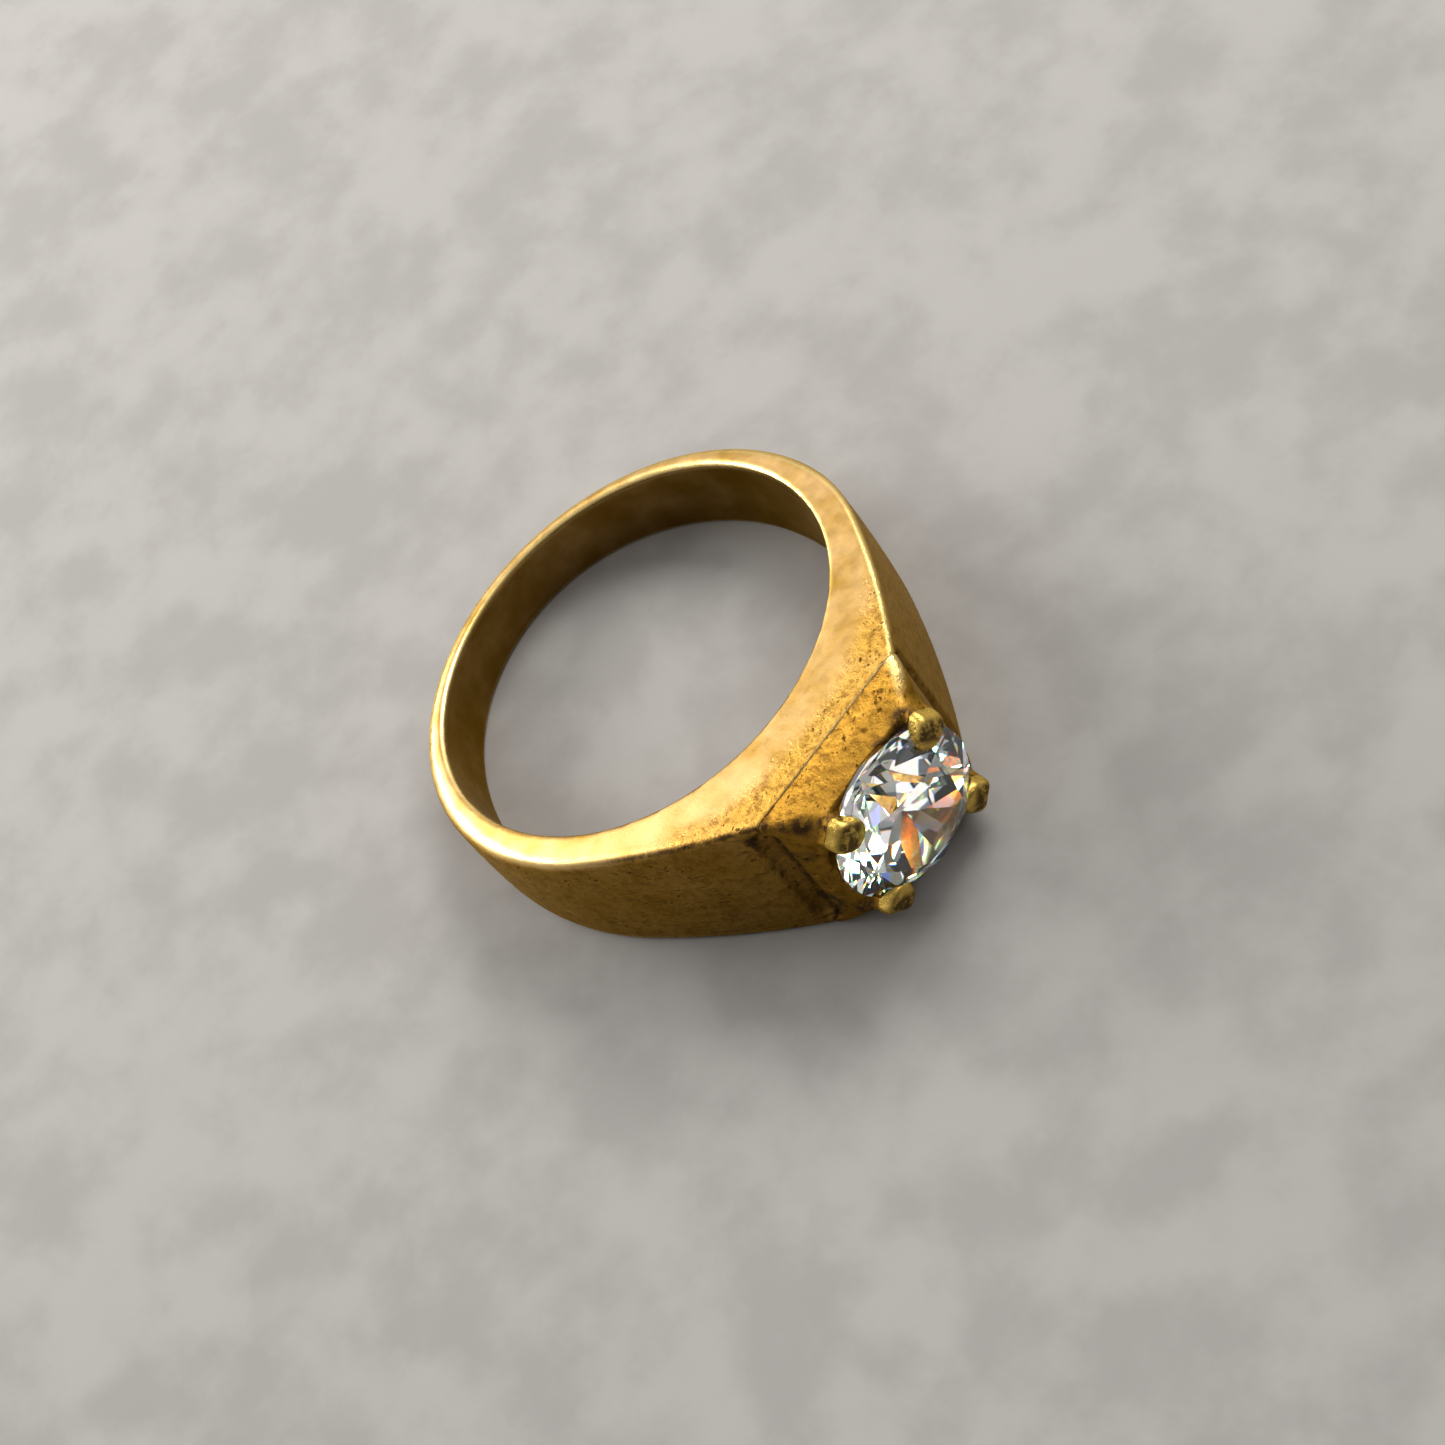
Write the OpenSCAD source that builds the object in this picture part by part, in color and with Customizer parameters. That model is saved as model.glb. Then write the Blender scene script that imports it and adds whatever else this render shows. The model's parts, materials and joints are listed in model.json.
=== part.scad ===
// Solitaire ring lying on its side: a tapered shank, a box collet let into its
// bridge, four claws pegged into the collet's corners, and a round brilliant.
// The ring is drawn about the axis of its finger hole (Z), stone towards -Y,
// and is then leaned by the taper of its side so that it lies flat.

/* [Finger hole] */
// Diameter of the finger hole
bore_d = 17.8; // [15:0.1:20]

/* [Band] */
// Thickness of the band at the back
back_t = 0.9; // [0.7:0.1:1.4]
// Thickness of the band at the sides
side_t = 1.3; // [1.1:0.1:1.7]
// Width of the band at the back
back_w = 2.85; // [2.4:0.05:4]
// Width of the ring at the collet's seat
head_w = 7.65; // [7.2:0.05:8.2]
// Rounding of the band's outer edges
edge_r = 0.6; // [0.3:0.1:0.9]

/* [Shoulders] */
// Height of the collet's seat above the finger hole's centre
seat_h = 11.85; // [11.5:0.05:12.2]
// Half width of the flat that the collet stands on
seat_x = 3.95; // [3.8:0.05:4]
// Half width of the shoulders at their outer corner
corner_x = 4.7; // [4.6:0.05:4.9]
// Height of the shoulders' outer corner above the finger hole's centre
corner_h = 11.35; // [11.2:0.05:11.5]
// Radius of the gentle curve of each shoulder
shoulder_r = 36; // [32:1:45]

/* [Stone] */
// Diameter of the stone at its girdle
stone_d = 7; // [6.6:0.1:7.2]
// Height of the girdle's middle above the finger hole's centre
girdle_h = 13.88; // [13.8:0.02:14]
// Thickness of the girdle where the main facets meet it
girdle_t = 0.2; // [0.16:0.02:0.3]
// Width of the table, corner to corner, as a part of the diameter
table_part = 0.57; // [0.53:0.01:0.62]
// Angle of the crown's main facets
crown_angle = 34.5; // [32:0.5:36]
// Angle of the pavilion's main facets
pavilion_angle = 41; // [40:0.2:41.6]
// How far the star facets reach from the table's edge towards the girdle
star_part = 0.5; // [0.45:0.01:0.55]
// How far the lower girdle facets reach from the girdle towards the culet
lower_part = 0.77; // [0.7:0.01:0.82]

/* [Collet] */
// Half width of the collet where it meets the seat
foot_x = 3.75; // [3.6:0.05:3.9]
// Half width of the collet at its widest ridge
ridge_x = 4.02; // [3.95:0.01:4.1]
// Height of that ridge above the seat
ridge_h = 0.62; // [0.5:0.02:0.8]
// Half width of the collet's top, across the shoulders
top_x = 3.05; // [2.95:0.05:3.1]
// Half width of the collet's top, along the finger
top_z = 3.3; // [3.25:0.05:3.4]
// Gap between the collet's top and the middle of the girdle
rim_gap = 0.22; // [0.2:0.02:0.3]
// Radius of the hole below the stone
well_r = 2.6; // [2.5:0.05:2.7]
// Radius of the collar that is let into the shank
collar_r = 3.2; // [3.1:0.05:3.4]
// Length of that collar
collar_l = 1; // [0.8:0.1:1.2]
// Half width of the pocket around the stone, across the shoulders
pocket_x = 2.25; // [2.1:0.05:2.3]
// Half width of the pocket around the stone, along the finger
pocket_z = 2.9; // [2.8:0.05:2.95]
// Depth of the pocket below the collet's top
pocket_depth = 0.8; // [0.6:0.1:1]
// Depth of the scoop in the rim that faces each shoulder
scoop_depth = 0.5; // [0.3:0.05:0.6]
// Width of that scoop
scoop_w = 4.4; // [4:0.1:4.5]
// Radius of the light hole through the shank's bridge
light_r = 2; // [1.6:0.1:2.2]

/* [Claws] */
// Width of a claw
claw_w = 1.3; // [1.1:0.05:1.4]
// How far a claw's tip reaches in over the stone
claw_reach = 0.8; // [0.6:0.05:0.9]
// How far a claw stands out beyond the girdle
claw_out = 0.8; // [0.7:0.05:0.85]
// Height of a claw's crown above the middle of the girdle
claw_h = 1; // [0.85:0.05:1.1]
// Radius of a claw's peg
peg_r = 0.4; // [0.3:0.02:0.44]
// Length of a claw's peg
peg_l = 1.3; // [1:0.1:1.5]
// Clearance left round the stone by the claws and the collet
stone_gap = 0.04; // [0.03:0.01:0.05]

/* [Hidden] */
$fn = 96;
MAINS = 8;               // main facets round the stone
CLAWS = 4;
CLAW_START = 45;         // the first claw stands on this diagonal
REACH = 40;              // longer than anything that is cut
eps = 0.01;              // keeps two faces from lying exactly on each other
edge_over = 0.08;        // lets each rounding run out through a face, not along it

bore_r = bore_d / 2;
stone_r = stone_d / 2;
// The outer round sits a little towards the head, so the band thins at the back
band_shift = side_t - back_t;
band_r = bore_r + side_t;
back_y = band_r - band_shift;
taper = (head_w - back_w) / 2 / (seat_h + back_y);
lean = atan(taper);
mid_half_w = back_w / 2 + taper * back_y;

// The shoulder curve starts square to the round and ends at the outer corner
corner_up = corner_h - band_shift;
corner_far = sqrt(corner_x * corner_x + corner_up * corner_up);
centre_far = shoulder_r - band_r;
shoulder_cos = (shoulder_r * shoulder_r - corner_far * corner_far - centre_far * centre_far)
    / (2 * centre_far * corner_far);
shoulder_start = acos(shoulder_cos) + atan2(corner_x, corner_up);
shoulder_top_y = -band_shift - band_r * cos(shoulder_start);

top_h = girdle_h - rim_gap - seat_h;
girdle_half = girdle_t / 2;
table_r = stone_r * table_part;
table_edge_r = table_r * cos(180 / MAINS);
crown_h = (stone_r - table_r) * tan(crown_angle);
// Lower tip of a star facet, on the ridge between two crown mains
star_r = table_edge_r + star_part * (stone_r - table_edge_r);
star_h = (stone_r - star_r * cos(180 / MAINS)) * tan(crown_angle);
// Lower tip of a pair of lower girdle facets, on the ridge between two pavilion mains
lower_r = stone_r * (1 - lower_part);
lower_h = (stone_r - lower_r * cos(180 / MAINS)) * tan(pavilion_angle);
pavilion_h = stone_r * tan(pavilion_angle);

scoop_r = (scoop_w * scoop_w / 4 + scoop_depth * scoop_depth) / (2 * scoop_depth);
peg_at = stone_r + claw_out - claw_w / 2 + eps;

gold = [0.80, 0.60, 0.28];
collet_gold = [0.82, 0.58, 0.20];
claw_gold = [0.88, 0.74, 0.34];
clear_stone = [0.86, 0.88, 0.94, 0.7];

// ---- placing ----

// Leans the whole ring so that its lower side lies level
module laid() {
    rotate([-lean, 0, 0]) children();
}

// Up is away from the finger, and zero is the middle of the girdle
module at_head() {
    translate([0, -girdle_h, 0]) rotate([90, 0, 0]) children();
}

// ---- shank ----

// Outline of the band seen along the finger, off centre so that the back is thin
module band_outline() {
    translate([0, -band_shift]) circle(band_r);
}

// Centre of a shoulder's big arc; the other shoulder's is its mirror image
function shoulder_centre(side) = [-side * centre_far * sin(shoulder_start),
                                  -band_shift + centre_far * cos(shoulder_start)];

// The shoulders stand between two big arcs, from the seat to where the band takes over
module shoulder_outline() {
    intersection() {
        translate(shoulder_centre(1)) circle(shoulder_r);
        translate(shoulder_centre(-1)) circle(shoulder_r);
        translate([-REACH / 2, -seat_h]) square([REACH, seat_h + shoulder_top_y]);
    }
}

// Narrow at the back, wide at the head
module side_taper() {
    near = mid_half_w + taper * REACH / 2;
    far = mid_half_w - taper * REACH / 2;
    rotate([90, 0, 90]) linear_extrude(REACH, center = true)
        polygon([[-REACH / 2, -near], [-REACH / 2, near], [REACH / 2, far], [REACH / 2, -far]]);
}

// A disc standing square to the upper side, with its upper edge rounded over
module side_disc(centre, r) {
    translate([centre[0], centre[1], mid_half_w - taper * centre[1]]) rotate([-lean, 0, 0])
        rotate_extrude() {
            translate([0, -REACH]) square([r - edge_r, REACH + edge_over]);
            translate([0, -REACH]) square([r, REACH + edge_over - edge_r]);
            translate([r - edge_r, edge_over - edge_r]) circle(edge_r);
        }
}

// Everything but the corner that is rounded off the upper edge
module rounded_room() {
    translate([-REACH / 2, 0, mid_half_w]) rotate([-lean, 0, 0])
        translate([0, -REACH / 2, edge_over - edge_r - REACH]) cube(REACH);
    side_disc([0, -band_shift], band_r + edge_over);
    intersection() {
        side_disc(shoulder_centre(1), shoulder_r + 2 * edge_over);
        side_disc(shoulder_centre(-1), shoulder_r + 2 * edge_over);
        translate([-REACH / 2, -REACH / 2 + shoulder_top_y, -REACH / 2])
            cube([REACH, REACH / 2, REACH]);
    }
}

module shank_body() {
    intersection() {
        linear_extrude(REACH / 2, center = true) {
            band_outline();
            shoulder_outline();
        }
        side_taper();
        rounded_room();
        mirror([0, 0, 1]) rounded_room();
    }
}

// Bevels the end of a shoulder, which makes the groove beside the collet
module shoulder_bevel() {
    angle = atan2(seat_h - corner_h, corner_x - seat_x);
    for (side = [0, 1])
        mirror([side, 0, 0]) translate([seat_x, -seat_h, 0]) rotate([0, 0, angle])
            translate([-eps, -REACH, -REACH / 2]) cube([REACH, REACH, REACH]);
}

module shank() {
    color(gold) difference() {
        shank_body();
        cylinder(h = REACH, r = bore_r, center = true);
        shoulder_bevel();
        rotate([90, 0, 0]) cylinder(h = REACH, r = light_r);
        translate([0, -seat_h + collar_l, 0]) rotate([90, 0, 0])
            cylinder(h = REACH, r = collar_r);
    }
}

// ---- collet ----

// Seen along the finger: a foot, a ridge and a face that leans in to the top
module collet_side() {
    half = [[foot_x, 0], [ridge_x, ridge_h], [top_x, top_h]];
    polygon(concat(half, [for (i = [len(half) - 1:-1:0]) [-half[i][0], half[i][1]]]));
}

// Seen across the finger: flush with the shank at the seat, narrower at the top
module collet_end() {
    seat_half = head_w / 2;
    polygon([[seat_half, 0], [top_z, top_h], [-top_z, top_h], [-seat_half, 0]]);
}

module collet_block() {
    intersection() {
        rotate([90, 0, 0]) linear_extrude(REACH, center = true) collet_side();
        rotate([90, 0, 90]) linear_extrude(REACH, center = true) collet_end();
    }
}

module collet() {
    color(collet_gold) at_head() difference() {
        translate([0, 0, seat_h - girdle_h]) union() {
            collet_block();
            translate([0, 0, -collar_l]) cylinder(h = collar_l + ridge_h, r = collar_r);
        }
        translate([0, 0, -REACH / 2]) cylinder(h = REACH, r = well_r);
        translate([-pocket_x, -pocket_z, -rim_gap - pocket_depth])
            cube([2 * pocket_x, 2 * pocket_z, REACH]);
        translate([0, 0, scoop_r - scoop_depth - rim_gap]) rotate([0, 90, 0])
            cylinder(h = REACH, r = scoop_r, center = true);
        stone_space();
        for (i = [0:CLAWS - 1]) rotate([0, 0, CLAW_START + 360 / CLAWS * i]) peg();
    }
}

// ---- claws ----

module peg() {
    translate([peg_at, 0, -rim_gap - peg_l]) cylinder(h = peg_l + eps, r = peg_r, $fn = 48);
}

// Seen from the side: a dome over the girdle, on an upright foot
module claw_profile() {
    dome_r = (claw_reach + claw_out) / 2;
    dome_x = stone_r + (claw_out - claw_reach) / 2;
    intersection() {
        union() {
            translate([dome_x, claw_h - dome_r]) circle(dome_r);
            translate([stone_r - claw_w / 4, -rim_gap])
                square([claw_w / 4 + claw_out, rim_gap + claw_h - dome_r]);
        }
        translate([0, -rim_gap]) square(REACH);
    }
}

// Seen from above: round at the tip
module claw_plan() {
    tip_r = claw_w / 2;
    translate([stone_r - claw_reach + tip_r, 0]) {
        circle(tip_r);
        translate([0, -tip_r]) square([claw_reach + claw_out - tip_r, claw_w]);
    }
}

module claw(i) {
    color(claw_gold) at_head() rotate([0, 0, CLAW_START + 360 / CLAWS * i]) {
        difference() {
            intersection() {
                rotate([90, 0, 0]) linear_extrude(claw_w, center = true) claw_profile();
                linear_extrude(REACH, center = true) claw_plan();
            }
            stone_space();
        }
        peg();
    }
}

// ---- stone ----

// Room for the stone: its two cones and girdle, with the clearance all round
module stone_space() {
    side = 2 * stone_gap;
    rotate_extrude()
        polygon([[0, -girdle_half - pavilion_h - side],
                 [stone_r + side, -girdle_half],
                 [stone_r + side, girdle_half],
                 [table_r + side, girdle_half + crown_h],
                 [0, girdle_half + crown_h]]);
}

// Points standing evenly round the stone's axis
function ring(count, start, r, h) =
    [for (i = [0:count - 1]) [r * cos(start + 360 / count * i), r * sin(start + 360 / count * i), h]];

// Numbers of the points in each ring, counted on past the last one to the first again
function table_point(i) = i % MAINS;
function star_point(i) = MAINS + i % MAINS;
function girdle_top(i) = 2 * MAINS + i % (2 * MAINS);
function girdle_low(i) = 4 * MAINS + i % (2 * MAINS);
function lower_point(i) = 6 * MAINS + i % MAINS;
culet_point = 7 * MAINS;

// A round brilliant: table, stars, kites and upper facets over the girdle, lower facets
// and pavilion mains under it
module stone() {
    half_step = 180 / MAINS;
    points = concat(
        ring(MAINS, 0, table_r, girdle_half + crown_h),
        ring(MAINS, half_step, star_r, girdle_half + star_h),
        ring(2 * MAINS, 0, stone_r, girdle_half),
        ring(2 * MAINS, 0, stone_r, -girdle_half),
        ring(MAINS, half_step, lower_r, -girdle_half - lower_h),
        [[0, 0, -girdle_half - pavilion_h]]);
    table = [for (i = [MAINS - 1:-1:0]) table_point(i)];
    last = MAINS - 1;
    crown = [for (i = [0:last]) each [
        [table_point(i), table_point(i + 1), star_point(i)],
        [table_point(i), star_point(i), girdle_top(2 * i), star_point(i + last)],
        [girdle_top(2 * i), star_point(i), girdle_top(2 * i + 1)],
        [star_point(i), girdle_top(2 * i + 2), girdle_top(2 * i + 1)]]];
    girdle = [for (i = [0:2 * MAINS - 1])
        [girdle_top(i), girdle_top(i + 1), girdle_low(i + 1), girdle_low(i)]];
    pavilion = [for (i = [0:last]) each [
        [girdle_low(2 * i), girdle_low(2 * i + 1), lower_point(i)],
        [girdle_low(2 * i + 1), girdle_low(2 * i + 2), lower_point(i)],
        [girdle_low(2 * i), lower_point(i), culet_point, lower_point(i + last)]]];
    color(clear_stone) at_head()
        polyhedron(points, concat([table], crown, girdle, pavilion));
}

laid() shank();
laid() collet();
laid() claw(0);  // claw_1
laid() claw(1);  // claw_2
laid() claw(2);  // claw_3
laid() claw(3);  // claw_4
laid() stone();
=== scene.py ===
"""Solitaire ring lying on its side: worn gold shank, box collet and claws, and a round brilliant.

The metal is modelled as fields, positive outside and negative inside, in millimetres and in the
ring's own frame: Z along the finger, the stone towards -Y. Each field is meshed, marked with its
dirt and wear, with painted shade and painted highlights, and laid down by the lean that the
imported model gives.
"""

import json
import math
import random

import bmesh
import bpy
import numpy as np
from mathutils import Matrix, Vector


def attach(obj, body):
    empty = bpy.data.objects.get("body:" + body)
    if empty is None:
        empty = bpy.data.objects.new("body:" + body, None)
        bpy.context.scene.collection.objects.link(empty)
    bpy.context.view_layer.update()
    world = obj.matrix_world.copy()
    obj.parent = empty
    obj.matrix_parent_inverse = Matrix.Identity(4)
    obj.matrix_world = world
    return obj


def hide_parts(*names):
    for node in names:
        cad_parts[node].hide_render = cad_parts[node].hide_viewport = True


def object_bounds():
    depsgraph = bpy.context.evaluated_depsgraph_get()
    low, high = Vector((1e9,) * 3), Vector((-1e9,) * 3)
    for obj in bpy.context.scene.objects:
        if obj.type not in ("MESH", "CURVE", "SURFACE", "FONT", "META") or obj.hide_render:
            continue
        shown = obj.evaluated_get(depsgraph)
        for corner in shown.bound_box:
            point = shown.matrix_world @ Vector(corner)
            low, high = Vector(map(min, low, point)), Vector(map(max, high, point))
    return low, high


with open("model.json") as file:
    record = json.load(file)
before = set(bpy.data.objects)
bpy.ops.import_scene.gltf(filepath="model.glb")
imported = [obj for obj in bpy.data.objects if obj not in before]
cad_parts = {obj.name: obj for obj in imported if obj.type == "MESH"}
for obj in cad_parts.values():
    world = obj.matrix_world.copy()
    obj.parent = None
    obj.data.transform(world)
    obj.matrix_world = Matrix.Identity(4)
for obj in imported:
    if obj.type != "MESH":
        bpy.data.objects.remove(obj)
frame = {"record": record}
cad_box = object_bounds()

MM = 0.001
hole = next(m for m in frame["record"]["mounts"] if m["name"] == "finger_hole")
LEAN = math.atan2(hole["axis"][1], hole["axis"][2])
BORE_R = hole["dims"]["r_mm"]

# ---- sizes in millimetres, the same as the CAD's ----
BAND_R = BORE_R + 1.3
BAND_SHIFT = 0.4  # the outer round sits this far towards the head
SEAT_H = 11.85
HALF_W = 2.5114  # half width of the band at the finger hole's centre
TAPER = math.tan(LEAN)
CORNER = (4.7, 11.35)  # half width and height of the shoulders' outer corner
SHOULDER_R = 36.0
STONE_R = 3.5
GIRDLE_H = 13.88
GIRDLE_HALF = 0.1
TABLE_PART = 0.57
CROWN_ANGLE = math.radians(34.5)
PAVILION_ANGLE = math.radians(41)
STAR_PART = 0.5
LOWER_PART = 0.77
MAINS = 8
RIM_GAP = 0.22
TOP_H = GIRDLE_H - RIM_GAP - SEAT_H
HEAD_HALF_W = 3.825
RIDGE = (4.02, 0.62)
TOP_X = 3.05
TOP_Z = 3.3
WELL_R = 2.6
COLLAR_R = 3.2
COLLAR_L = 1.0
POCKET = (2.25, 2.9, 0.8)  # half width, half length along the finger, and depth
SCOOP_DEPTH = 0.5
SCOOP_W = 4.4
LIGHT_R = 2.0
CLAW_REACH = 0.8
CLAW_HALF_W = 0.65
CLAW_TURNS = [math.radians(45 + 90 * i) for i in range(4)]

# Each shoulder's gentle arc ends at this angle from the stone's side, where the band takes over
CORNER_UP = CORNER[1] - BAND_SHIFT
CORNER_FAR = math.hypot(CORNER[0], CORNER_UP)
CENTRE_FAR = SHOULDER_R - BAND_R
SHOULDER_START = math.acos(
    (SHOULDER_R**2 - CORNER_FAR**2 - CENTRE_FAR**2) / (2 * CENTRE_FAR * CORNER_FAR)
) + math.atan2(CORNER[0], CORNER_UP)

# ---- sizes in millimetres that only the looks have ----
FOOT_X = 4.24  # half width of the collet's foot before the groove is cut
GROOVE_R = 0.57
GROOVE_AT = (4.394, 11.926)  # half width and height of the groove's centre line
GROOVE_END = 2.85  # half length of the groove, without its round ends
VALLEY_AT = (3.86, 11.9)  # the groove's edge against the collet, where grime gathers
COLLET_CLEARANCE = 0.05  # left round the two cones that stand for the stone, as the next one
CLAW_CLEARANCE = 0.03
GIRDLE_SIDES = 144  # of the round blank that the stone is cut from
STONE_TURN = math.radians(18)  # about the stone's own axis
CUT_ERROR = 0.012  # greatest error of each component of a facet's unit normal
CLAW_FOOT = 1.2  # depth of a claw's root below the girdle
CLAW_JOINT = 0.3  # height above the collet's top at which its claw roots end
JOINT_OVERLAP = 0.03  # how far a claw reaches into its root
# Height of each claw above the girdle at its tip and at its back, and how far out its back is
CLAW_SHAPES = [(0.78, 0.88, 4.2), (0.8, 0.9, 4.2), (0.8, 0.85, 4.15), (0.74, 0.86, 4.2)]
PIT_GRIME = 6  # dirt gathered per millimetre of a pit's depth


# ---- fields ----

def smooth_step(value, low, high):
    """0 below low, 1 above high, and a smooth rise between them."""
    t = np.clip((value - low) / (high - low), 0, 1)
    return t * t * (3 - 2 * t)


def round_max(a, b, r):
    """What is inside both a and b, with the edge between them rounded to radius r."""
    return np.minimum(np.maximum(a, b), -r) + np.hypot(np.maximum(a + r, 0), np.maximum(b + r, 0))


def round_min(a, b, r):
    """What is inside a or b, with the corner between them filled to radius r."""
    return -round_max(-a, -b, r)


def cut(body, tool, r):
    """body without tool, with the new edge rounded to radius r."""
    return round_max(body, -tool, r)


def slope(u, h, start, end):
    """Distance outside the face that runs from start to end, both given as (width, height)."""
    run, rise = end[0] - start[0], end[1] - start[1]
    return ((u - start[0]) * rise - (h - start[1]) * run) / math.hypot(run, rise)


def groove(x, y, z):
    """The round-ended channel between a shoulder and the collet."""
    along = np.maximum(np.abs(z) - GROOVE_END, 0)
    across = np.hypot(np.abs(x) - GROOVE_AT[0], y + GROOVE_AT[1])
    return np.hypot(across, along) - GROOVE_R


def around_head(y, x):
    """Angle round the finger hole from the stone's side, from 0 to pi."""
    return np.arctan2(np.abs(x), -(y + BAND_SHIFT))


def side_face(y, z):
    """Distance outside the two tapered sides."""
    return (np.abs(z) - (HALF_W - TAPER * y)) * math.cos(LEAN)


def outer_face(x, y, z):
    """Distance outside the band and its shoulders, which are a little barrelled."""
    band = np.hypot(x, y + BAND_SHIFT) - BAND_R
    arc_x = CENTRE_FAR * math.sin(SHOULDER_START)
    arc_y = CENTRE_FAR * math.cos(SHOULDER_START) - BAND_SHIFT
    arc = np.hypot(np.abs(x) + arc_x, y - arc_y) - SHOULDER_R
    outer = np.where(around_head(y, x) < SHOULDER_START, arc, band)
    return outer + 0.07 * (z / (HALF_W - TAPER * y)) ** 2


def shank_field(x, y, z):
    """The band and shoulders, less the grooves, the finger hole, the light hole and the socket."""
    angle = around_head(y, x)
    outer = outer_face(x, y, z)
    edge = 0.26 + 0.36 * smooth_step(angle, 1.0, 1.75)
    body = round_max(outer, side_face(y, z), edge)
    body = round_max(body, -y - SEAT_H, 0.06)
    body = cut(body, groove(x, y, z), 0.1)
    body = round_max(body, BORE_R - np.hypot(x, y), 0.14 + 0.14 * smooth_step(angle, 1.2, 2.0))
    light = np.maximum(np.hypot(x, z) - LIGHT_R, y)
    body = cut(body, light, 0.1)
    socket = np.maximum(np.hypot(x, z) - COLLAR_R, y + SEAT_H - COLLAR_L)
    return np.maximum(body, -socket)


def stone_room(x, y, z, gap):
    """The stone taken as two cones and a girdle, grown by gap. Its facets stand a little outside."""
    h = -y - GIRDLE_H
    r = np.hypot(x, z)
    crown = (r - STONE_R) * math.sin(CROWN_ANGLE) + (h - GIRDLE_HALF) * math.cos(CROWN_ANGLE)
    pavilion = (r - STONE_R) * math.sin(PAVILION_ANGLE) - (h + GIRDLE_HALF) * math.cos(PAVILION_ANGLE)
    return np.maximum(np.maximum(crown, pavilion), r - STONE_R) - gap


def collet_field(x, y, z):
    """The box under the stone, with its collar, well, pocket, scoops and the roots of the claws."""
    h = -y - SEAT_H
    wide, deep = np.abs(x), np.abs(z)
    end = round_max(slope(wide, h, (FOOT_X, 0), RIDGE), slope(wide, h, RIDGE, (TOP_X, TOP_H)), 0.25)
    side = slope(deep, h, (HEAD_HALF_W, 0), (TOP_Z, TOP_H))
    body = round_max(end, side, 0.3 + 0.5 * np.clip(h / TOP_H, 0, 1))
    body = round_max(body, h - TOP_H, 0.12)
    body = round_max(body, -h, 0.06)
    body = cut(body, groove(x, y, z), 0.12)
    collar = np.maximum(np.maximum(np.hypot(x, z) - COLLAR_R, -h - COLLAR_L), h - RIDGE[1])
    body = np.minimum(body, collar)
    body = np.maximum(body, WELL_R - np.hypot(x, z))
    pocket = round_max(wide - POCKET[0], deep - POCKET[1], 0.5)
    pocket = np.maximum(pocket, TOP_H - POCKET[2] - h)
    body = cut(body, pocket, 0.1)
    scoop_r = (SCOOP_W**2 / 4 + SCOOP_DEPTH**2) / (2 * SCOOP_DEPTH)
    scoop = np.hypot(z, h - TOP_H - scoop_r + SCOOP_DEPTH) - scoop_r
    body = cut(body, scoop, 0.12)
    for number in range(4):
        post = np.maximum(claw_body(number, x, y, z), h - TOP_H - CLAW_JOINT)
        body = round_min(body, post, 0.22)
    return cut(body, stone_room(x, y, z, COLLET_CLEARANCE), 0.06)


def claw_body(number, x, y, z):
    """One claw, which stands on a corner of the collet and bends over the stone."""
    turn = CLAW_TURNS[number]
    tip_h, top_h, outer = CLAW_SHAPES[number]
    out = x * math.cos(turn) + z * math.sin(turn)
    side = -x * math.sin(turn) + z * math.cos(turn)
    h = -y - GIRDLE_H
    inner = STONE_R - CLAW_REACH
    tip = np.hypot(np.minimum(out - inner - CLAW_HALF_W, 0), side) - CLAW_HALF_W
    back = slope(out, h, (outer + 0.15, -CLAW_FOOT), (outer - 0.1, top_h))
    top = slope(h, out, (tip_h, inner), (top_h, outer))
    body = round_max(round_max(top, back, 0.5), tip, 0.3)
    return np.maximum(body, -h - CLAW_FOOT)


def claw_field(number):
    """The part of a claw that shows above the collet's corner."""
    def field(x, y, z):
        foot = GIRDLE_H + y - RIM_GAP + CLAW_JOINT - JOINT_OVERLAP
        body = np.maximum(claw_body(number, x, y, z), foot)
        return cut(body, stone_room(x, y, z, CLAW_CLEARANCE), 0.04)

    return field


# Grime on the head and on the -X shoulder, painted shade in two spots by the stone, and pits: centre,
# radius, and strength or depth
GRIME_AND_SHADE = [
    ((-3.35, -13.25, 3.5), 0.75, 1.0),
    ((-3.75, -12.75, 3.65), 0.5, 0.8),
    # Painted shade in the recess between claw 1 and the collet's wall
    ((2.2, -13.75, 3.1), 0.8, 0.95),
    ((-2.6, -13.7, 3.15), 0.5, 0.8),
    ((-3.3, -13.4, -2.6), 0.9, 0.9),
    # Painted shade on the collet's top edge, in the gap under the stone's girdle
    ((0.9, -13.7, 3.25), 0.55, 0.7),
    ((-3.9, -12.2, -1.9), 1.0, 0.85),
    ((-3.6, -12.6, 1.6), 0.7, 0.6),
    ((-4.6, -11.4, 2.9), 0.5, 0.7),
    ((-6.3, -9.2, -1.6), 0.8, 0.45),
    ((-6.1, -9.1, 0.8), 0.45, 0.6),
]
SHANK_PITS = [
    ((-4.55, -11.45, 2.35), 0.2, 0.12),
    ((-4.5, -11.5, 2.05), 0.16, 0.1),
    ((-4.6, -11.4, 0.9), 0.14, 0.08),
    ((-4.45, -11.5, 0.3), 0.2, 0.12),
    ((-4.6, -11.45, -0.6), 0.18, 0.1),
    ((-5.35, -10.3, 1.0), 0.13, 0.09),
    ((-6.1, -9.1, 0.8), 0.4, 0.08),
    ((-7.8, -6.9, 0.4), 0.13, 0.08),
]
COLLET_PITS = [
    ((-3.8, -12.75, 1.4), 0.14, 0.08),
    ((-3.9, -12.6, 0.2), 0.16, 0.1),
    ((-3.85, -12.7, -0.9), 0.14, 0.08),
    ((2.6, -12.5, 3.62), 0.2, 0.07),
    ((1.0, -12.9, 3.5), 0.16, 0.06),
    ((2.0, -12.9, 3.5), 0.14, 0.07),
]


# ---- meshing ----

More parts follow.
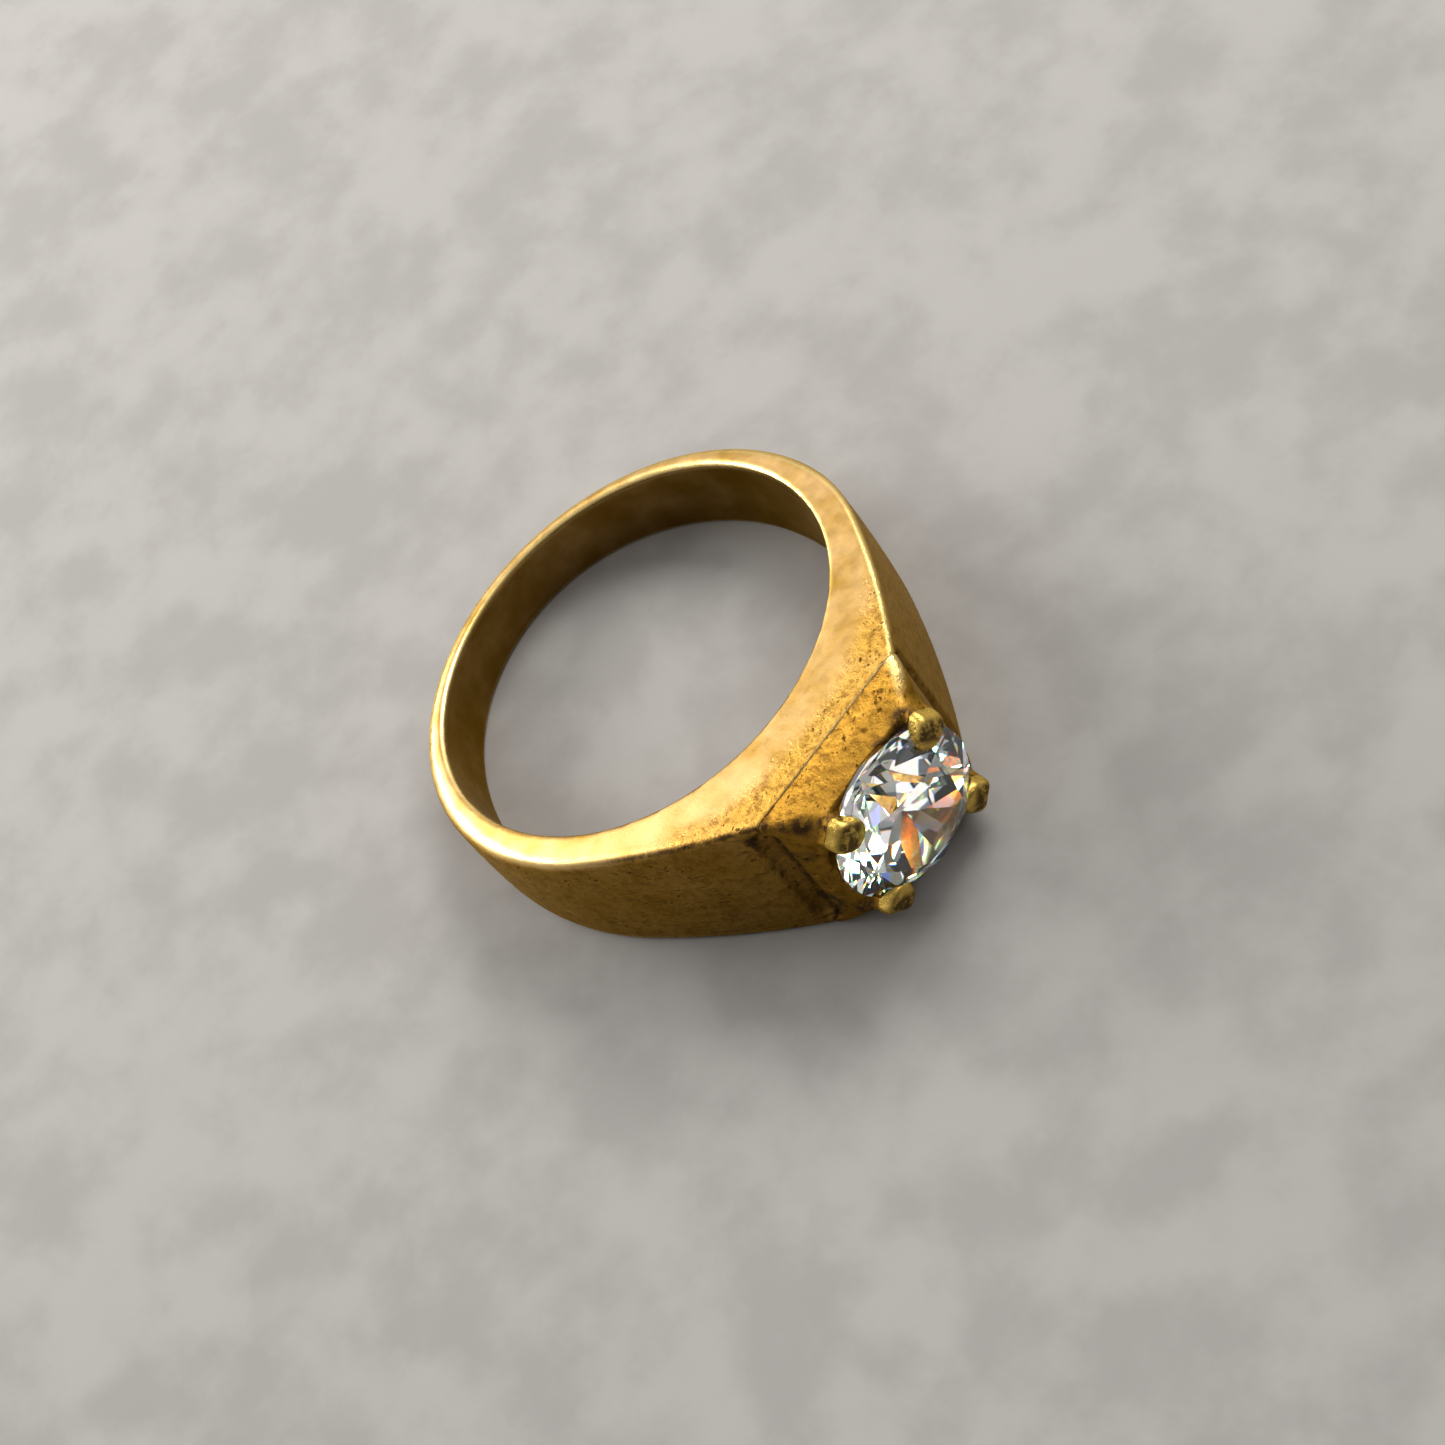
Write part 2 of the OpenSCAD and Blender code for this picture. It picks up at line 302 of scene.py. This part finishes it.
def gradient(field, points, step):
    """The field's gradient at each point, from its values a step to either side."""
    result = np.empty_like(points)
    for axis in range(3):
        ahead, behind = points.copy(), points.copy()
        ahead[:, axis] += step
        behind[:, axis] -= step
        result[:, axis] = (field(*ahead.T) - field(*behind.T)) / (2 * step)
    return result


def surface_net(field, low, high, step):
    """Points and quads of the surface where field is zero, with each point pulled onto it."""
    axes = [np.arange(a, b + step, step) for a, b in zip(low, high)]
    values = field(axes[0][:, None, None], axes[1][None, :, None], axes[2][None, None, :])
    strides = np.array([values.shape[1] * values.shape[2], values.shape[2], 1])
    inside = values < 0
    cells, crossings = [], []
    for axis in range(3):
        first = tuple(slice(None, -1) if i == axis else slice(None) for i in range(3))
        second = tuple(slice(1, None) if i == axis else slice(None) for i in range(3))
        at = np.argwhere(inside[first] != inside[second])
        near, far = values[first][tuple(at.T)], values[second][tuple(at.T)]
        point = at.astype(float)
        point[:, axis] += near / (near - far)
        u, v = strides[(axis + 1) % 3], strides[(axis + 2) % 3]
        base = at @ strides
        four = np.stack([base, base - u, base - u - v, base - v], axis=1)
        four[near > 0] = four[near > 0][:, ::-1]
        cells.append(four)
        crossings.append(point)
    cells, crossings = np.concatenate(cells), np.concatenate(crossings)
    _, quads = np.unique(cells, return_inverse=True)
    quads = quads.reshape(-1, 4)
    corner = quads.ravel()
    count = np.bincount(corner)
    points = np.stack(
        [np.bincount(corner, np.repeat(crossings[:, i], 4)) / count for i in range(3)], axis=1
    )
    points = points * step + np.array(low)
    for _ in range(2):
        slope_at = gradient(field, points, step * 0.2)
        size = np.maximum((slope_at**2).sum(axis=1), 0.2)
        move = slope_at * (field(*points.T) / size)[:, None]
        points -= np.clip(move, -step, step)
    return points, quads


def laid(points):
    """Points of the ring's own frame, in millimetres, laid on its side in the row frame, in metres."""
    c, s = math.cos(LEAN), math.sin(LEAN)
    x, y, z = points.T
    return np.stack([x, y * c + z * s, z * c - y * s], axis=1) * MM


def add_object(name, data):
    """A new object that shows data, linked into the scene."""
    made = bpy.data.objects.new(name, data)
    bpy.context.scene.collection.objects.link(made)
    return made


def mesh_object(name, points, quads, marks, material):
    """A smooth mesh of quads that carries each mark as an attribute of its points."""
    mesh = bpy.data.meshes.new(name)
    mesh.vertices.add(len(points))
    mesh.vertices.foreach_set("co", laid(points).astype(np.float32).ravel())
    mesh.loops.add(quads.size)
    mesh.loops.foreach_set("vertex_index", quads.astype(np.int32).ravel())
    mesh.polygons.add(len(quads))
    mesh.polygons.foreach_set("loop_start", np.arange(0, quads.size, 4, dtype=np.int32))
    mesh.update(calc_edges=True)
    mesh.validate()
    mesh.shade_smooth()
    for mark, values in marks.items():
        kind, slot = ("FLOAT", "value") if values.ndim == 1 else ("FLOAT_VECTOR", "vector")
        attribute = mesh.attributes.new(mark, kind, "POINT")
        attribute.data.foreach_set(slot, values.astype(np.float32).ravel())
    mesh.materials.append(material)
    return add_object(name, mesh)


def sunk(field, points, pits):
    """Points pushed in where each pit (centre, radius, depth) is, and how far each was pushed."""
    push = np.zeros(len(points))
    for centre, radius, depth in pits:
        far = np.linalg.norm(points - np.array(centre), axis=1) / radius
        push = np.maximum(push, depth * np.clip(1 - far**2, 0, 1))
    normal = gradient(field, points, 0.02)
    normal /= np.linalg.norm(normal, axis=1)[:, None]
    return points - normal * push[:, None], push


# ---- materials ----

# Painted highlight: the pale colour that rubbed rims and the collet's +X corners are lightened towards
PAINTED_HIGHLIGHT = (0.95, 0.74, 0.3, 1)
TAN = (0.66, 0.42, 0.17, 1)
OCHRE = (0.43, 0.24, 0.042, 1)
BROWN = (0.13, 0.055, 0.009, 1)
DULL = (0.15, 0.075, 0.009, 1)
HONEY = (0.64, 0.37, 0.075, 1)
AMBER = (0.46, 0.235, 0.03, 1)
PALE = (0.9, 0.66, 0.18, 1)
OLIVE = (0.56, 0.36, 0.07, 1)
GLANCE = (1.0, 0.82, 0.5, 1)  # the metal's colour at a glancing angle
PIT_DARK = (0.05, 0.022, 0.006, 1)
SCRATCH_DARK = (0.05, 0.025, 0.008, 1)
# Dark colour of dirt, also used as painted shade under the stone and beside the claws
SOIL_AND_SHADE = (0.045, 0.02, 0.006, 1)
CARD_TONES = ((0.235, 0.225, 0.213, 1), (0.28, 0.27, 0.256, 1))
# Colour and index of refraction of each glass whose sum is the stone
FIRE = [((0.5, 0.1, 0, 1), 2.135), ((0.5, 0.8, 0.5, 1), 2.165), ((0, 0.1, 0.5, 1), 2.2)]


class Graph:
    """A material's node tree, with short calls for the nodes that the finishes share."""

    def __init__(self, name):
        self.material = bpy.data.materials.new(name)
        self.material.use_nodes = True
        self.tree = self.material.node_tree
        self.tree.nodes.clear()
        self.output = self.tree.nodes.new("ShaderNodeOutputMaterial")

    def add(self, kind, inputs=None, **settings):
        node = self.tree.nodes.new("ShaderNode" + kind)
        for key, value in settings.items():
            setattr(node, key, value)
        for key, value in (inputs or {}).items():
            socket = node.inputs[key]
            if isinstance(value, bpy.types.NodeSocket):
                self.tree.links.new(value, socket)
            else:
                socket.default_value = value
        return node

    def math(self, operation, a, b=0.0, clamp=False):
        return self.add("Math", {0: a, 1: b}, operation=operation, use_clamp=clamp).outputs[0]

    def span(self, value, low, high, to_low=0.0, to_high=1.0):
        """value taken smoothly from low..high to to_low..to_high."""
        return self.add(
            "MapRange",
            {"Value": value, "From Min": low, "From Max": high, "To Min": to_low, "To Max": to_high},
            interpolation_type="SMOOTHSTEP",
        ).outputs[0]

    def noise(self, vector, scale, detail=3.0, rough=0.55):
        inputs = {"Vector": vector, "Scale": scale, "Detail": detail, "Roughness": rough}
        return self.add("TexNoise", inputs).outputs["Fac"]

    def mix(self, factor, a, b):
        """Colours a and b mixed. The Mix node's colours are its inputs 6 and 7 and its output 2."""
        node = self.add("Mix", data_type="RGBA")
        for socket, value in ((node.inputs[0], factor), (node.inputs[6], a), (node.inputs[7], b)):
            if isinstance(value, bpy.types.NodeSocket):
                self.tree.links.new(value, socket)
            else:
                socket.default_value = value
        return node.outputs[2]

    def scaled(self, vector, factors):
        return self.add("Mapping", {"Vector": vector, "Scale": factors}).outputs[0]

    def mark(self, name, output="Fac"):
        return self.add("Attribute", attribute_name=name).outputs[output]

    def place(self):
        """Where the shaded point lies, in millimetres."""
        return self.scaled(self.add("TexCoord").outputs["Object"], (1000, 1000, 1000))

    def finish(self, shader):
        """The material, with shader as its surface."""
        self.tree.links.new(shader, self.output.inputs[0])
        return self.material


def gold(name, tones, polish, grain, speckle):
    """Worn gold.

    tones are its light, middle, stained and dull colours, polish its least and greatest
    roughness before dirt, pits and wear change it, grain the height of its finest bumps in
    millimetres, and speckle how strongly its pits show. The dirt mark darkens it with real dirt
    and with painted shade, and the wear mark lightens it with a painted highlight.
    """
    g = Graph(name)
    place = g.place()
    along = g.mark("along", "Vector")
    dirt_and_shade, wear_and_highlight, pitted, dull = g.mark("dirt_and_shade"), g.mark("wear_and_highlight"), g.mark("pitted"), g.mark("dull")
    clouds = g.noise(place, 0.5, 4)
    mottle = g.noise(place, 2.4, 6, 0.68)
    fine = g.noise(place, 12.0, 3)
    light, middle, stained, dulled = tones
    tone = g.mix(g.span(clouds, 0.25, 0.68), middle, light)
    tone = g.mix(g.math("MULTIPLY", pitted, 0.85), tone, middle)
    stain = g.math("MULTIPLY", g.span(mottle, 0.42, 0.68), pitted)
    tone = g.mix(g.math("MULTIPLY", stain, 0.8), tone, stained)
    tone = g.mix(g.math("MULTIPLY", dull, g.span(clouds, 0.2, 0.8, 1.0, 0.75)), tone, dulled)

    # Small pits of uneven shape where the casting is rough
    bend = g.math("MULTIPLY", g.noise(place, 5.0, 2), 0.35)
    bent = g.add("VectorMath", {0: place, 1: bend}, operation="ADD").outputs[0]
    pit = None
    for scale, least in ((3.4, 0.6), (7.5, 0.42)):
        cells = g.add("TexVoronoi", {"Vector": bent, "Scale": scale})
        chance = g.add("SeparateColor", {"Color": cells.outputs["Color"]}).outputs[0]
        size = g.span(chance, least, 1.0, 0.0, 0.36)
        hollow = g.span(g.math("SUBTRACT", size, cells.outputs["Distance"]), 0.0, 0.2)
        pit = hollow if pit is None else g.math("MAXIMUM", pit, g.math("MULTIPLY", hollow, 0.8))
    pit = g.math("MULTIPLY", pit, g.math("MULTIPLY", pitted, speckle, True))
    tone = g.mix(g.math("MULTIPLY", pit, 0.9), tone, PIT_DARK)

    scratch_lie = g.noise(g.scaled(along, (1.0, 0.6, 10.0)), 1.0, 2, 0.5)
    scratch = g.math("MULTIPLY", g.span(scratch_lie, 0.64, 0.69), g.mark("scratched"))
    tone = g.mix(g.math("MULTIPLY", scratch, 0.75), tone, SCRATCH_DARK)

    patchy = g.span(g.noise(place, 2.6, 6, 0.7), 0.4, 0.54, 0.15, 1.0)
    # Dirt, and painted shade and dark reflection under the stone and on the claws, darken the tone
    soil_and_shade = g.math("MULTIPLY", g.span(dirt_and_shade, 0.05, 0.95), patchy, True)
    tone = g.mix(soil_and_shade, tone, SOIL_AND_SHADE)
    # Painted highlight on the rubbed rims and on the collet's +X corners, where the wear mark is high
    tone = g.mix(g.math("MULTIPLY", wear_and_highlight, 0.75), tone, PAINTED_HIGHLIGHT)

    rough = g.span(g.noise(place, 1.7, 4), 0.3, 0.7, polish[0], polish[1])
    rough = g.math("ADD", rough, g.math("MULTIPLY", soil_and_shade, 0.2))
    rough = g.math("ADD", rough, g.math("MULTIPLY", pitted, 0.06))
    rough = g.math("SUBTRACT", rough, g.math("MULTIPLY", wear_and_highlight, 0.13), True)
    height = g.math("MULTIPLY", pit, -0.06)
    height = g.math("SUBTRACT", height, g.math("MULTIPLY", scratch, 0.02))
    height = g.math("ADD", height, g.math("MULTIPLY", fine, grain))
    height = g.math("ADD", height, g.math("MULTIPLY", g.math("MULTIPLY", mottle, pitted), 0.08))
    bump = g.add("Bump", {"Height": height, "Strength": 1.0, "Distance": MM})
    metal = g.math("SUBTRACT", 1.0, g.math("MULTIPLY", soil_and_shade, 0.35))
    shader = g.add(
        "BsdfPrincipled",
        {
            "Base Color": tone,
            "Metallic": metal,
            "Roughness": rough,
            "Specular Tint": GLANCE,
            "Normal": bump.outputs[0],
        },
    )
    return g.finish(shader.outputs[0])


def gem(name, rough):
    """Clear stone whose colours bend apart a little, so that it shows fire."""
    g = Graph(name)
    place = g.place()
    haze = g.span(g.noise(place, 1.2, 3), 0.3, 0.7, rough, rough * 1.6 + 0.004)
    parts = []
    for colour, bend in FIRE:
        glass = g.add("BsdfGlass", {"Color": colour, "Roughness": haze, "IOR": bend})
        parts.append(glass.outputs[0])
    both = g.add("AddShader", {0: parts[0], 1: parts[1]}).outputs[0]
    every = g.add("AddShader", {0: both, 1: parts[2]}).outputs[0]
    return g.finish(every)


# ---- stone ----

def ring_point(turn, r, h):
    """The point at a turn, a radius and a height about the stone's axis."""
    return Vector((r * math.cos(turn), r * math.sin(turn), h))


def brilliant_planes():
    """A point and an outward normal for each facet, with the stone's axis along Z."""
    step = math.pi / MAINS
    table_r = STONE_R * TABLE_PART
    crown_h = (STONE_R - table_r) * math.tan(CROWN_ANGLE)
    edge_r = table_r * math.cos(step)
    star_r = edge_r + STAR_PART * (STONE_R - edge_r)
    star_h = (STONE_R - star_r * math.cos(step)) * math.tan(CROWN_ANGLE)
    lower_r = STONE_R * (1 - LOWER_PART)
    lower_h = (STONE_R - lower_r * math.cos(step)) * math.tan(PAVILION_ANGLE)
    uneven = random.Random(3)
    planes = [(Vector((0, 0, GIRDLE_HALF + crown_h)), Vector((0, 0, 1)))]
    for i in range(MAINS):
        turn = 2 * step * i + STONE_TURN
        rim = ring_point(turn, STONE_R, GIRDLE_HALF)
        low_rim = ring_point(turn, STONE_R, -GIRDLE_HALF)
        lean = (math.sin(CROWN_ANGLE), math.cos(CROWN_ANGLE))
        planes.append((rim, ring_point(turn, lean[0], lean[1])))
        lean = (math.sin(PAVILION_ANGLE), math.cos(PAVILION_ANGLE))
        planes.append((low_rim, ring_point(turn, lean[0], -lean[1])))
        star = ring_point(turn + step, star_r, GIRDLE_HALF + star_h)
        first = ring_point(turn, table_r, GIRDLE_HALF + crown_h)
        second = ring_point(turn + 2 * step, table_r, GIRDLE_HALF + crown_h)
        planes.append((star, (star - first).cross(second - first)))
        lower = ring_point(turn + step, lower_r, -GIRDLE_HALF - lower_h)
        for a, b in ((turn, turn + step), (turn + step, turn + 2 * step)):
            for tip, h in ((star, GIRDLE_HALF), (lower, -GIRDLE_HALF)):
                p, q = ring_point(a, STONE_R, h), ring_point(b, STONE_R, h)
                planes.append((tip, (p - tip).cross(q - tip)))
    result = []
    for point, normal in planes:
        tilt = Vector((uneven.uniform(-1, 1), uneven.uniform(-1, 1), uneven.uniform(-1, 1)))
        normal = (normal.normalized() + CUT_ERROR * tilt).normalized()
        if normal.dot(point) < 0:
            normal = -normal
        result.append((point, normal))
    return result


def brilliant(name, facet_material, girdle_material):
    """A round blank cut by each facet's plane."""
    bm = bmesh.new()
    bmesh.ops.create_cone(
        bm, cap_ends=True, segments=GIRDLE_SIDES, radius1=STONE_R, radius2=STONE_R, depth=8,
        matrix=Matrix.Rotation(math.pi / GIRDLE_SIDES, 4, "Z"),
    )
    for point, normal in brilliant_planes():
        geometry = list(bm.verts) + list(bm.edges) + list(bm.faces)
        found = bmesh.ops.bisect_plane(
            bm, geom=geometry, dist=1e-5, plane_co=point, plane_no=normal, clear_outer=True
        )
        rim = [e for e in found["geom_cut"] if isinstance(e, bmesh.types.BMEdge)]
        if len(rim) > 2:
            bmesh.ops.contextual_create(bm, geom=rim)
    bmesh.ops.remove_doubles(bm, verts=list(bm.verts), dist=1e-4)
    bmesh.ops.recalc_face_normals(bm, faces=list(bm.faces))
    for face in bm.faces:
        face.smooth = False
        face.material_index = 1 if abs(face.normal.z) < 0.05 else 0
    mesh = bpy.data.meshes.new(name)
    bm.to_mesh(mesh)
    bm.free()
    co = np.array([v.co for v in mesh.vertices])
    own = np.stack([co[:, 0], -co[:, 2] - GIRDLE_H, co[:, 1]], axis=1)
    mesh.vertices.foreach_set("co", laid(own).astype(np.float32).ravel())
    mesh.update()
    mesh.materials.append(facet_material)
    mesh.materials.append(girdle_material)
    return add_object(name, mesh)


# ---- marks on the metal ----

def spots(points, blobs):
    """How much of each blob (centre, radius, strength) lies on each point."""
    total = np.zeros(len(points))
    for centre, radius, strength in blobs:
        far = np.linalg.norm(points - np.array(centre), axis=1) / radius
        total = np.maximum(total, strength * (1 - smooth_step(far, 0.35, 1.0)))
    return total


def metal_marks(points):
    """How dirty, worn, pitted, scratched and dulled the metal is, where shade and highlights are
    painted on it, and the way that scratches lie.
    """
    x, y, z = points.T
    angle = around_head(y, x)
    side = side_face(y, z)
    far = np.hypot(x, y)
    on_side = smooth_step(side, -0.5, -0.12)
    on_face = smooth_step(side, -0.045, -0.01)
    seam = np.exp(-((y + SEAT_H) / 0.075) ** 2)
    valley = smooth_step(-np.hypot(np.abs(x) - VALLEY_AT[0], y + VALLEY_AT[1]), -0.42, -0.05)
    valley *= smooth_step(-side, 0.25, 0.7)
    in_groove = smooth_step(-np.abs(groove(x, y, z)), -0.4, 0.0)
    outward = smooth_step(far, BAND_R, BORE_R + 2.5)
    speckled = on_side * outward * smooth_step(-y, 0.0, 6.5)
    bore = smooth_step(-far, -BORE_R - 0.12, -BORE_R)
    wall = smooth_step(far, BORE_R + 0.5, BORE_R + 0.85) * (1 - on_side)
    tarnished = smooth_step(-x, 0.5, 3.5) * smooth_step(-y, 3.0, 8.0)
    rim = smooth_step(side, -0.35, -0.1) * smooth_step(outer_face(x, y, z), -0.22, -0.03)
    arc = np.sign(x) * angle * BAND_R
    dirt_and_shade = 0.9 * seam + 0.95 * valley + 0.3 * in_groove + 0.8 * rim * tarnished
    return {
        "dirt_and_shade": np.clip(dirt_and_shade + spots(points, GRIME_AND_SHADE), 0, 1),
        # Rubbed rims, made smoother and lightened with a painted highlight
        "wear_and_highlight": 0.8 * smooth_step(side, -0.3, -0.05) * (1 - on_face) * (1 - tarnished),
        "pitted": np.clip(speckled + in_groove + 0.85 * wall, 0, 1),
        "scratched": wall * smooth_step(np.abs(x), 2.0, 5.0),
        "dull": np.clip(0.95 * bore + 0.6 * wall * (1 - 0.4 * smooth_step(y, -2.0, 8.0)), 0, 1),
        "along": np.stack([arc, far, z], axis=1),
    }


def metal_piece(name, field, low, high, step, pits, material, marks_of):
    """A piece of the root body, meshed from its field between the corners low and high."""
    points, quads = surface_net(field, low, high, step)
    marks = marks_of(points)
    points, push = sunk(field, points, pits)
    marks["dirt_and_shade"] = np.clip(marks["dirt_and_shade"] + PIT_GRIME * push, 0, 1)
    piece = mesh_object(name, points, quads, marks, material)
    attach(piece, "root")
    return piece


def collet_marks(points):
    """A rough rim, painted shade in the pocket, corners with a painted highlight on the +X side, and
    grime on the corners on the other.
    """
    marks = metal_marks(points)
    x, y, z = points.T
    h = -y - SEAT_H
    inside = smooth_step(-np.maximum(np.abs(x) - POCKET[0], np.abs(z) - POCKET[1]), -0.28, 0.0)
    rim = smooth_step(h, TOP_H - 0.75, TOP_H - 0.2) * smooth_step(side_face(y, z), -1.0, -0.3)
    marks["pitted"] = np.clip(marks["pitted"] + 0.55 + rim, 0, 1)
    # Painted shade in the pocket under the stone, as dark as grime
    marks["dirt_and_shade"] = np.clip(marks["dirt_and_shade"] + 0.9 * inside * smooth_step(h, -2.0, 0.2), 0, 1)
    marks["scratched"] = np.zeros(len(points))
    below = slope(np.abs(x), h, (FOOT_X, 0), RIDGE)
    above = slope(np.abs(x), h, RIDGE, (TOP_X, TOP_H))
    end = np.maximum(below, above)
    corner = smooth_step(end, -0.7, -0.2) * smooth_step(side_face(y, z), -0.7, -0.2)
    # Painted highlight along the collet's rounded corners on the +X side, where the side light glints
    marks["wear_and_highlight"] = corner * (x > 0)
    marks["dirt_and_shade"] = np.maximum(marks["dirt_and_shade"], 0.6 * corner * (x < 0))
    return marks


def claw_marks(points):
    """Grime at each claw's root, grime and a painted dark reflection on its outer top, and even
    pitting and tarnish.
    """
    marks = metal_marks(points)
    x, y, z = points.T
    h = -y - GIRDLE_H
    low = smooth_step(-h, -0.35, 0.0)
    top = smooth_step(h, 0.45, 0.8) * smooth_step(np.hypot(x, z), 2.9, 3.4)
    # The outer top is darkened for its grime and as a painted dark reflection
    marks["dirt_and_shade"] = np.clip(0.6 * low + 0.8 * top, 0, 1)
    marks["pitted"] = np.full(len(points), 0.5)
    marks["scratched"] = np.zeros(len(points))
    marks["dull"] = np.full(len(points), 0.3)
    return marks


# ---- pieces ----

shank_gold = gold("shank_gold", (TAN, OCHRE, BROWN, DULL), (0.32, 0.42), 0.004, 1.0)
collet_gold = gold("collet_gold", (HONEY, AMBER, BROWN, DULL), (0.26, 0.4), 0.006, 1.0)
claw_gold = gold("claw_gold", (PALE, OLIVE, BROWN, OLIVE), (0.18, 0.3), 0.005, 0.5)

coarse = 1.0
# The box's low corner is off the round numbers: a grid plane that lies on a face leaves lines
shank = metal_piece(
    "shank_body", shank_field, (-10.43, -12.13, -4.03), (10.4, 10.0, 4.0), 0.105 * coarse,
    SHANK_PITS, shank_gold, metal_marks,
)
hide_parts("shank")
collet = metal_piece(
    "collet_body", collet_field, (-4.5, -14.1, -4.1), (4.5, -10.6, 4.1), 0.05 * coarse,
    COLLET_PITS, collet_gold, collet_marks,
)
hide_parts("collet")
for number, turn in enumerate(CLAW_TURNS):
    centre = np.array([STONE_R * math.cos(turn), -GIRDLE_H - 0.3, STONE_R * math.sin(turn)])
    claw = metal_piece(
        f"claw_tab_{number + 1}", claw_field(number), centre - 1.6, centre + 1.6, 0.04 * coarse,
        [], claw_gold, claw_marks,
    )
    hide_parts(f"claw_{number + 1}")

stone = brilliant("brilliant", gem("gem_facets", 0.0), gem("gem_girdle", 0.12))
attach(stone, "root")
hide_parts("stone")

# ---- floor, light and camera ----

FLOOR_HALF = 0.4  # metres, as the next one
LIGHT_DISTANCE = 0.25
CAMERA_AT = (-21.915, -67.822, 94.448)  # millimetres
CAMERA_ANGLES = (-18.686, 54.435, -36.852)  # azimuth, elevation and roll in degrees
CAMERA_LENS = 72.87
WARM = (1.0, 0.99, 0.97)
SKY_BRIGHTEST = (0.35, 0.75, 0.55)  # the direction from which most of the even light comes
SPARKLE_COLOUR = (1.0, 0.9, 0.9)
# Azimuth and elevation in degrees, size in metres and power of each light that only the stone sees
SPARKLES = [
    (-30, 13, 0.12, 0.06),
    (18, 33, 0.06, 0.2),
    (0, 47, 0.08, 0.22),
    (68, 46, 0.1, 0.6),
    (45, 47, 0.1, 0.35),
]


def view_direction(azimuth, elevation):
    """From the ring towards a viewer at azimuth and elevation, in radians."""
    return Vector((
        math.sin(azimuth) * math.cos(elevation),
        -math.cos(azimuth) * math.cos(elevation),
        math.sin(elevation),
    ))


def floor():
    """A pale grey card under the ring."""
    mesh = bpy.data.meshes.new("floor")
    level = cad_box[0].z
    signs = ((-1, -1), (1, -1), (1, 1), (-1, 1))
    corners = [(sx * FLOOR_HALF, sy * FLOOR_HALF, level) for sx, sy in signs]
    mesh.from_pydata(corners, [], [(0, 1, 2, 3)])
    g = Graph("floor_card")
    place = g.place()
    tone = g.mix(g.span(g.noise(place, 0.25, 4), 0.35, 0.65), *CARD_TONES)
    shader = g.add("BsdfPrincipled", {"Base Color": tone, "Roughness": 0.85})
    mesh.materials.append(g.finish(shader.outputs[0]))
    made = add_object("floor", mesh)


def area_light(name, azimuth, elevation, size, power, colour):
    """A soft light that faces the ring from azimuth and elevation, in degrees."""
    back = view_direction(math.radians(azimuth), math.radians(elevation))
    data = bpy.data.lights.new(name, "AREA")
    data.shape = "RECTANGLE"
    data.size, data.size_y = size
    data.energy = power
    data.color = colour
    made = add_object(name, data)
    made.location = back * LIGHT_DISTANCE
    made.rotation_euler = (-back).to_track_quat("-Z", "Y").to_euler()
    return made


def stone_lights(stone):
    """Small soft lights that only the stone sees, so that its facets sparkle."""
    only = bpy.data.collections.new("stone_only")
    only.objects.link(stone)
    for i, (azimuth, elevation, size, power) in enumerate(SPARKLES):
        name = f"sparkle_{i + 1}"
        light = area_light(name, azimuth, elevation, (size, size), power, SPARKLE_COLOUR)
        light.light_linking.receiver_collection = only


def camera():
    """The view from in front and above, rolled about its line of sight."""
    azimuth, elevation, roll = (math.radians(v) for v in CAMERA_ANGLES)
    back = view_direction(azimuth, elevation)
    level = Vector((math.cos(azimuth), math.sin(azimuth), 0))
    up = back.cross(level)
    right = level * math.cos(roll) + up * math.sin(roll)
    top = up * math.cos(roll) - level * math.sin(roll)
    data = bpy.data.cameras.new("camera")
    data.lens = CAMERA_LENS
    data.sensor_width = 36
    data.clip_start = 0.001
    made = add_object("camera", data)
    turn = Matrix((right, top, back)).transposed()
    made.matrix_world = Matrix.Translation(Vector(CAMERA_AT) * MM) @ turn.to_4x4()
    bpy.context.scene.camera = made


def studio():
    """Even light from above and behind, falling off towards the front."""
    world = bpy.data.worlds.new("studio")
    world.use_nodes = True
    tree = world.node_tree
    tree.nodes.clear()
    place = tree.nodes.new("ShaderNodeTexCoord").outputs["Generated"]
    facing = tree.nodes.new("ShaderNodeVectorMath")
    facing.operation = "DOT_PRODUCT"
    tree.links.new(place, facing.inputs[0])
    facing.inputs[1].default_value = Vector(SKY_BRIGHTEST).normalized()
    level = tree.nodes.new("ShaderNodeMapRange")
    level.interpolation_type = "SMOOTHSTEP"
    tree.links.new(facing.outputs["Value"], level.inputs["Value"])
    for key, value in (("From Min", -0.9), ("From Max", 0.9), ("To Min", 0.03), ("To Max", 0.9)):
        level.inputs[key].default_value = value
    light = tree.nodes.new("ShaderNodeBackground")
    light.inputs["Color"].default_value = (*WARM, 1)
    tree.links.new(level.outputs[0], light.inputs["Strength"])
    out = tree.nodes.new("ShaderNodeOutputWorld")
    tree.links.new(light.outputs[0], out.inputs[0])
    bpy.context.scene.world = world


floor()
area_light("window", -160, 22, (0.18, 0.17), 0.9, WARM)
area_light("side", 108, 46, (0.13, 0.13), 0.6, (1.0, 0.98, 0.95))
stone_lights(stone)
camera()
studio()
bpy.context.scene.view_settings.view_transform = "Standard"
